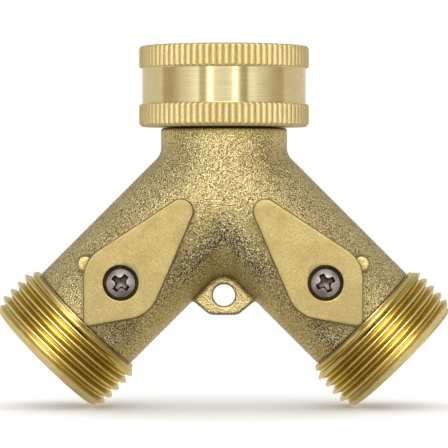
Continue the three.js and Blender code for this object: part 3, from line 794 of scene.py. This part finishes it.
def outlet_thread():
    envelope = [(OUTLET_START, THREAD_MINOR_R), (OUTLET_START + LEAD_CHAMFER, THREAD_MAJOR_R),
                (OUTLET_END - END_CHAMFER, THREAD_MAJOR_R), (OUTLET_END, OUTLET_END_R)]
    inside = softened([
        (OUTLET_END_R - 0.1, OUTLET_END, 0), (RETAINER_BORE_R + 0.5, OUTLET_END, 0),
        (RETAINER_BORE_R, OUTLET_END - 0.5, 0.2), (RETAINER_BORE_R, FORGING_END, 0),
        (TUBE_R - 0.35, FORGING_END, 0), (TUBE_R - 0.35, OUTLET_START, 0)])
    return threaded(OUTLET_THREAD_PHASE, OUTLET_START, OUTLET_END, envelope, lambda a: inside)


def spigot():
    low, high, floor = GROOVE
    return lathe(softened([
        (INLET_BORE_R, NECK_TOP, 0), (SPIGOT_R, NECK_TOP, 0), (SPIGOT_R, low, 0.1),
        (floor, low, 0.1), (floor, high, 0.1), (SPIGOT_R, high, 0.1), (SPIGOT_R, SPIGOT_TOP, 0.3),
        (INLET_BORE_R, SPIGOT_TOP, 0.3)]))


def flute(angle):
    """Depth of the knurl at an angle: flattened crests between narrow grooves."""
    share = angle * KNURL_COUNT / math.tau
    wave = [abs(math.sin(math.pi * (share + shift))) ** 0.6 for shift in (-0.04, 0, 0.04)]
    return KNURL_DEPTH * (1 - sum(wave) / len(wave))


def swivel_nut():
    low, high, waist = WAIST
    mouth = [(NUT_THREAD_START, NUT_RELIEF_R), (NUT_THREAD_START + 0.4, THREAD_MINOR_R),
             (NUT_TOP - 1.2, THREAD_MINOR_R), (NUT_TOP, THREAD_MAJOR_R + 0.1)]
    outline = softened([
        (THREAD_MAJOR_R + 0.2, NUT_TOP, 0), (NUT_R - 0.9, NUT_TOP, 0), (NUT_R, NUT_TOP, 0.55),
        (NUT_R, high + 0.35, 0.06), (NUT_R - 0.35, high, 0.06), (waist, high, 0.06),
        (waist, low, 0.06), (NUT_R - 0.3, low, 0.06), (NUT_R, low - 0.3, 0.06),
        (NUT_R, NUT_BOTTOM + 0.55, 0.1), (NUT_R - 0.5, NUT_BOTTOM, 0.1),
        (LIP_R + 0.25, NUT_BOTTOM, 0.05), (LIP_R, NUT_BOTTOM + 0.25, 0.05), (LIP_R, LIP_TOP, 0),
        (NUT_RELIEF_R, LIP_TOP, 0.2), (NUT_RELIEF_R, NUT_THREAD_START - 0.05, 0)])

    def rest(angle):
        root = NUT_R - flute(angle)
        return [(min(r, root), z) for r, z in outline]
    return threaded(NUT_THREAD_START, NUT_THREAD_START, NUT_TOP, mouth, rest,
                    sides=8 * KNURL_COUNT, outward=False, per_bend=3)


def inlet_washer():
    bore = INLET_BORE_R
    rim, low, high = WASHER_HIGH.x, WASHER_LOW.z - JUNCTION_Z, WASHER_HIGH.z - JUNCTION_Z
    return lathe(softened([(bore, low, 0.3), (rim, low, 0.4), (rim, high, 0.4), (bore, high, 0.3)]))


def ball_field(x, y, z):
    """Valve ball in the stem frame, bored along Y and slotted on top."""
    sphere = np.sqrt(x * x + y * y + z * z) - BALL_R
    bored = overlap(sphere, BALL_BORE_R - np.hypot(x, z), 0.3)
    slot = np.maximum(np.abs(y) - 1.6, 6.2 - z)
    return overlap(bored, -slot, 0.1)


def seat_profile(flip):
    near, far = SEAT_SPAN
    reach = BALL_R + 0.3
    first = math.degrees(math.acos(SEAT_BORE_R / reach))
    last = math.degrees(math.asin(near / reach))
    bend = arc((0, 0), reach, first, last, 12)
    profile = bend + [(SEAT_HALF, near), (SEAT_HALF, far), (SEAT_BORE_R, far)]
    return [(r, STEM_STATION + flip * z) for r, z in profile]


def retainer_field(x, y, z):
    low, high = RETAINER_SPAN
    around = np.hypot(x, y)
    ring = overlap(around - RETAINER_R, np.abs(z - (low + high) / 2) - (high - low) / 2, 0.3)
    ring = overlap(ring, ARM_BORE_R - around, 0.4)
    slot = np.maximum(np.abs(y) - 1.0, high - 1.2 - z)
    return overlap(ring, -slot, 0.12)


def lever_outline():
    """Corner-rounded kite about the stem axis: points and their inward normals."""
    corners = [((0, 24.1), 2.27), ((-7.62, -1.2), 6.0), ((0, -10.2), 1.24), ((7.62, -1.2), 6.0)]
    made = []
    for i, (at, radius) in enumerate(corners):
        here = Vector(at)
        back = (Vector(corners[i - 1][0]) - here).normalized()
        ahead = (Vector(corners[(i + 1) % 4][0]) - here).normalized()
        half = back.angle(ahead) / 2
        centre = here + (back + ahead).normalized() * radius / math.sin(half)
        first = here + back * radius / math.tan(half) - centre
        start = math.atan2(first.y, first.x)
        for step in range(19):
            a = start + (math.pi - 2 * half) * step / 18
            spoke = Vector((math.cos(a), math.sin(a)))
            made.append((centre + spoke * radius, -spoke))
    filled = []
    for i, (point, normal) in enumerate(made):
        after, after_normal = made[(i + 1) % len(made)]
        filled.append((point, normal))
        gap = (after - point).length
        for step in range(1, int(gap / 1.2)):
            share = step / int(gap / 1.2)
            filled.append((point.lerp(after, share), normal.lerp(after_normal, share).normalized()))
    return filled


def lever():
    """Flat kite with softened edges, a counterbore for the screw and a square socket."""
    edge = LEVER_EDGE
    bore_r, bore_floor = COUNTERBORE
    rows = []
    for point, inward in lever_outline():
        heading = point.normalized()
        bore = heading * bore_r
        square = heading * (SQUARE_SOCKET / 2 / max(abs(heading.x), abs(heading.y)))
        row = [(square, LEVER_BOTTOM), (point + inward * edge, LEVER_BOTTOM)]
        for a in np.radians((22.5, 45, 67.5, 90)):
            inset = edge * (1 - math.sin(a))
            row.append((point + inward * inset, LEVER_BOTTOM + edge * (1 - math.cos(a))))
        for a in np.radians((0, 22.5, 45, 67.5, 90)):
            inset = edge * (1 - math.cos(a))
            row.append((point + inward * inset, LEVER_TOP - edge * (1 - math.sin(a))))
        rim = point + inward * edge
        row += [(rim.lerp(bore, share), LEVER_TOP) for share in (0.08, 0.5, 0.92)]
        row += [(heading * (bore_r + 0.12), LEVER_TOP), (heading * (bore_r + 0.035), LEVER_TOP - 0.035),
                (bore, LEVER_TOP - 0.12), (bore, bore_floor + 0.1), (heading * (bore_r - 0.1), bore_floor),
                (square, bore_floor)]
        rows.append([(at.x, at.y, z) for at, z in row])
    rows = np.array(rows)
    return rows.reshape(-1, 3), skin(rows)


def rib_field(x, y, z):
    near, far, half, bottom = RIB
    low = overlap(np.abs(x) - half, np.abs(y - (near + far) / 2) - (far - near) / 2, 0.25)
    return overlap(low, np.abs(z - (bottom + LEVER_BOTTOM + 0.4) / 2) - (LEVER_BOTTOM + 0.4 - bottom) / 2, 0.15)


def screw_field(x, y, z):
    """Pan-head screw with a cross recess, in the stem frame."""
    head_low = COUNTERBORE[1] + 0.06
    around = np.hypot(x, y)
    crown = np.sqrt(around ** 2 + (z - (SCREW_TOP - CROWN_R)) ** 2) - CROWN_R
    head = overlap(overlap(around - SCREW_HEAD_R, crown, 0.2), head_low - z, 0.1)
    shank = np.maximum(around - SCREW_SHANK_R, np.abs(z - 11.9) - 2.1)
    depth = np.clip(SCREW_TOP - z, 0, 1.6)
    wing = 0.5 - 0.09 * depth
    reach = RECESS_REACH - 0.5 * depth
    along_x = overlap(np.abs(y) - wing, np.abs(x) - reach, 0.1)
    along_y = overlap(np.abs(x) - wing, np.abs(y) - reach, 0.1)
    cross = merge(along_x, along_y, 0.62 - 0.2 * depth)
    recess = np.maximum(cross, SCREW_TOP - 1.55 + 0.3 * around - z)
    return np.minimum(overlap(head, -recess, 0.06), shank)


def build():
    cast = cast_brass()
    nut = nut_brass()
    plain = plain_brass()
    satin = satin_brass()
    steel = screw_steel()
    ptfe = plastic("ptfe", srgb(238, 236, 228), srgb(222, 218, 206), 0.35)
    rubber = plastic("rubber", srgb(30, 30, 31), srgb(22, 22, 23), 0.6)
    ball_chrome = chrome()

    forging = surface_of(forging_field, (-34.5, -13, -34), (34.5, 12, 10.2), 0.3)
    piece("body_forging", forging, AT_JUNCTION, cast, "fitting", ["body"])
    piece("body_spigot", spigot(), AT_JUNCTION, plain, "fitting", ["body"], sharp=40)
    piece("swivel_nut_fine", swivel_nut(), AT_JUNCTION, nut, "inlet_nut", ["swivel_nut"],
          sharp=40)
    piece("inlet_washer_fine", inlet_washer(), AT_JUNCTION, rubber, "fitting", ["inlet_washer"])
    lever_shape = lever()
    rib_shape = surface_of(rib_field, (-1.2, 5.5, 11.2), (1.2, 10.9, 13.4), 0.12)
    screw_shape = surface_of(screw_field, (-2.9, -2.9, 9.5), (2.9, 2.9, 16.1), 0.08)
    ball_shape = surface_of(ball_field, (-8.7, -8.7, -8.7), (8.7, 8.7, 8.7), 0.3)
    retainer_shape = surface_of(retainer_field, (-9.8, -9.8, 33.7), (9.8, 9.8, 38.4), 0.25)
    for name, side in SIDES.items():
        arm, turned = arm_frame(side), lever_frame(side)
        valve = f"{name}_valve"
        thread = thread_brass(f"{name}_thread_brass", arm)
        piece(f"{name}_outlet_thread", outlet_thread(), arm, thread, "fitting", ["body"],
              sharp=50)
        piece(f"{name}_lever_fine", lever_shape, turned, satin, valve, [f"{name}_lever"],
              sharp=35)
        piece(f"{name}_lever_rib", rib_shape, turned, satin, valve, [f"{name}_lever"])
        screw_turn = turned @ Matrix.Rotation(math.radians(RECESS_TURN[name]), 4, "Z")
        piece(f"{name}_lever_screw_fine", screw_shape, screw_turn, steel, valve,
              [f"{name}_lever_screw"], sharp=60)
        piece(f"{name}_ball_fine", ball_shape, turned, ball_chrome, valve, [f"{name}_ball"])
        piece(f"{name}_retainer_fine", retainer_shape, arm, plain, "fitting",
              [f"{name}_seat_retainer"])
        for which, flip in (("inner", -1), ("outer", 1)):
            node = f"{name}_{which}_seat"
            piece(f"{node}_fine", lathe(seat_profile(flip), 96), arm, ptfe, "fitting", [node],
                  sharp=40)
    finish_cad_nodes({"plain_brass": plain, "steel": steel, "ptfe": ptfe, "rubber": rubber})


def finish_cad_nodes(finishes):
    """The small hidden CAD pieces keep their shapes and take a finish by their slot."""
    slots = {part["node"]: part["material_slot"] for part in frame["record"]["subparts"]}
    for node, made in frame["nodes"].items():
        if slots[node] in finishes:
            made.data.materials.clear()
            made.data.materials.append(finishes[slots[node]])


# ---------------------------------------------------------------------------------------------
# Stage, light and camera
# ---------------------------------------------------------------------------------------------

CAMERA_DISTANCE = 0.480
CAMERA_AZIMUTH = 0.6
CAMERA_HEIGHT = 0.041
VIEW_WIDTH = 0.08042
VIEW_CENTRE = Vector((0, 0, 0.03249))


# Glow of the floor to glossy rays, a painted reflection: painted shadow under the object's front, paler under its
# back and in the open.
UNDER_FRONT = (0.31, 0.28, 0.22)
UNDER_BACK = (0.9, 0.82, 0.6)
OPEN_FLOOR = (0.85, 0.82, 0.76)
FRONT_SOFTBOX = 6.4
STUDIO_TOP = 0.45
# Brightness of the room at angles round from the camera's side, in degrees, left negative: a
# middle tone, two bright strips, two dark gaps, two softboxes that fade, and a pale back half.
STUDIO_BANDS = [
    (-150, 0.67), (-98, 0.71), (-92, 0.44), (-80, 0.42), (-72, 0.51), (-62, 0.72), (-50, 0.86),
    (-42, 1.06), (-36, 1.15), (-33, 0.57), (-26, 0.55), (-20.5, 1.8), (-16, 1.8), (-12.5, 1.0),
    (0, 0.88), (9, 0.96), (11.5, 1.1), (14.5, 1.8), (18.5, 1.8), (22, 0.85), (25, 0.48), (32, 0.4),
    (36, 1.0), (43, 1.03), (50, 0.83), (62, 0.67), (72, 0.53), (85, 0.44), (91, 0.46), (97, 0.66),
    (150, 0.68)]
FLOOR_LIGHT = 1.3


def stage():
    """A white floor that fades to plain white away from the object; to glossy rays it glows as a painted
    reflection with painted shadow under the object.
    """
    reach = 3.0
    mesh = bpy.data.meshes.new("floor")
    corners = [(-reach, -reach, 0), (reach, -reach, 0), (reach, reach, 0), (-reach, reach, 0)]
    mesh.from_pydata(corners, [], [(0, 1, 2, 3)])
    floor = bpy.data.objects.new("floor", mesh)
    floor.location.z = -0.0003
    bpy.context.scene.collection.objects.link(floor)
    n = Nodes("floor_white")
    distance = n.add("ShaderNodeVectorMath", operation="LENGTH")
    n.link(n.position, distance.inputs[0])
    glow = n.add("ShaderNodeEmission")
    glow.inputs["Strength"].default_value = 1.0
    blend = n.add("ShaderNodeMixShader")
    n.set(Base_Color=srgb(250, 250, 250), Roughness=0.9)
    n.link(n.ramp(distance.outputs["Value"], (0.06, 0.0), (0.16, 1.0)), blend.inputs[0])
    n.link(n.surface.outputs[0], blend.inputs[1])
    n.link(glow.outputs[0], blend.inputs[2])
    # To glossy rays the floor glows instead, as a painted reflection with painted shadow under the object.
    rays = n.add("ShaderNodeLightPath")
    split = n.split(n.position)
    aside = n.ramp(n.math("ABSOLUTE", split.outputs["X"]), (0.018, 0.0), (0.038, 1.0))
    ahead = n.ramp(n.math("ABSOLUTE", split.outputs["Y"]), (0.04, 0.0), (0.11, 1.0))
    behind = n.ramp(n.math("ADD", split.outputs["Y"], 0.1), (0.09, 0.0), (0.11, 1.0))
    under = n.mix(behind, UNDER_FRONT, UNDER_BACK)
    below = n.add("ShaderNodeEmission")
    n.link(n.mix(n.math("MAXIMUM", aside, ahead), under, OPEN_FLOOR), below.inputs["Color"])
    pick = n.add("ShaderNodeMixShader")
    n.link(rays.outputs["Is Glossy Ray"], pick.inputs[0])
    n.link(blend.outputs[0], pick.inputs[1])
    n.link(below.outputs[0], pick.inputs[2])
    n.link(pick.outputs[0], n.out.inputs["Surface"])
    mesh.materials.append(n.material)


def warm(level):
    """Light of a given brightness: the dimmer parts of the room are browner, the strips whiter."""
    dim = min(max((0.78 - level) / 0.36, 0), 1)
    bright = min(max((level - 1.1) / 0.7, 0), 1)
    return level * (1 + 0.14 * dim), level, level * (1 - 0.24 * dim + 0.12 * bright)


def studio():
    """A white studio, pure white to the camera and shaded in bands round it for the brass."""
    world = bpy.data.worlds.new("studio")
    bpy.context.scene.world = world
    world.use_nodes = True
    n = Nodes(tree=world.node_tree)
    out = n.add("ShaderNodeOutputWorld")
    x, y, z = n.split(n.add("ShaderNodeTexCoord").outputs["Generated"]).outputs
    angle = n.math("ARCTAN2", x, n.math("MULTIPLY", y, -1.0))
    share = n.math("DIVIDE", n.math("ABSOLUTE", angle), math.pi)
    turn = n.math("ADD", n.math("DIVIDE", angle, math.tau), 0.5)
    bands = n.ramp(turn, *[(0.5 + degrees / 360, warm(level)) for degrees, level in STUDIO_BANDS])
    lift = n.ramp(z, (0.35, 0.0), (0.8, 1.0))
    light = n.mix(lift, bands, (STUDIO_TOP,) * 3)
    height = n.ramp(z, (0.08, 0.0), (0.16, 1.0), (0.6, 1.0), (0.8, 0.0))
    width = n.ramp(share, (12 / 180, 1.0), (34 / 180, 0.0))
    light = n.mix(n.math("MULTIPLY", height, width), light, (FRONT_SOFTBOX,) * 3)
    room = n.add("ShaderNodeBackground")
    n.link(light, room.inputs["Color"])
    backdrop = n.add("ShaderNodeBackground")
    backdrop.inputs["Color"].default_value = (1, 1, 1, 1)
    rays = n.add("ShaderNodeLightPath")
    n.feed(backdrop.inputs["Strength"], n.math("ADD", rays.outputs["Is Camera Ray"], n.math(
        "MULTIPLY", rays.outputs["Is Diffuse Ray"], FLOOR_LIGHT)))
    pick = n.add("ShaderNodeMixShader")
    n.link(rays.outputs["Is Glossy Ray"], pick.inputs[0])
    n.link(backdrop.outputs[0], pick.inputs[1])
    n.link(room.outputs[0], pick.inputs[2])
    n.link(pick.outputs[0], out.inputs["Surface"])


def camera():
    data = bpy.data.cameras.new("camera")
    data.sensor_width = 36.0
    data.lens = 36.0 * CAMERA_DISTANCE / VIEW_WIDTH
    made = bpy.data.objects.new("camera", data)
    turn = math.radians(CAMERA_AZIMUTH)
    made.location = (CAMERA_DISTANCE * math.sin(turn), -CAMERA_DISTANCE * math.cos(turn), CAMERA_HEIGHT)
    made.rotation_euler = (VIEW_CENTRE - made.location).to_track_quat("-Z", "Y").to_euler()
    bpy.context.scene.collection.objects.link(made)
    bpy.context.scene.camera = made


build()
stage()
studio()
camera()
bpy.context.scene.view_settings.view_transform = "Standard"
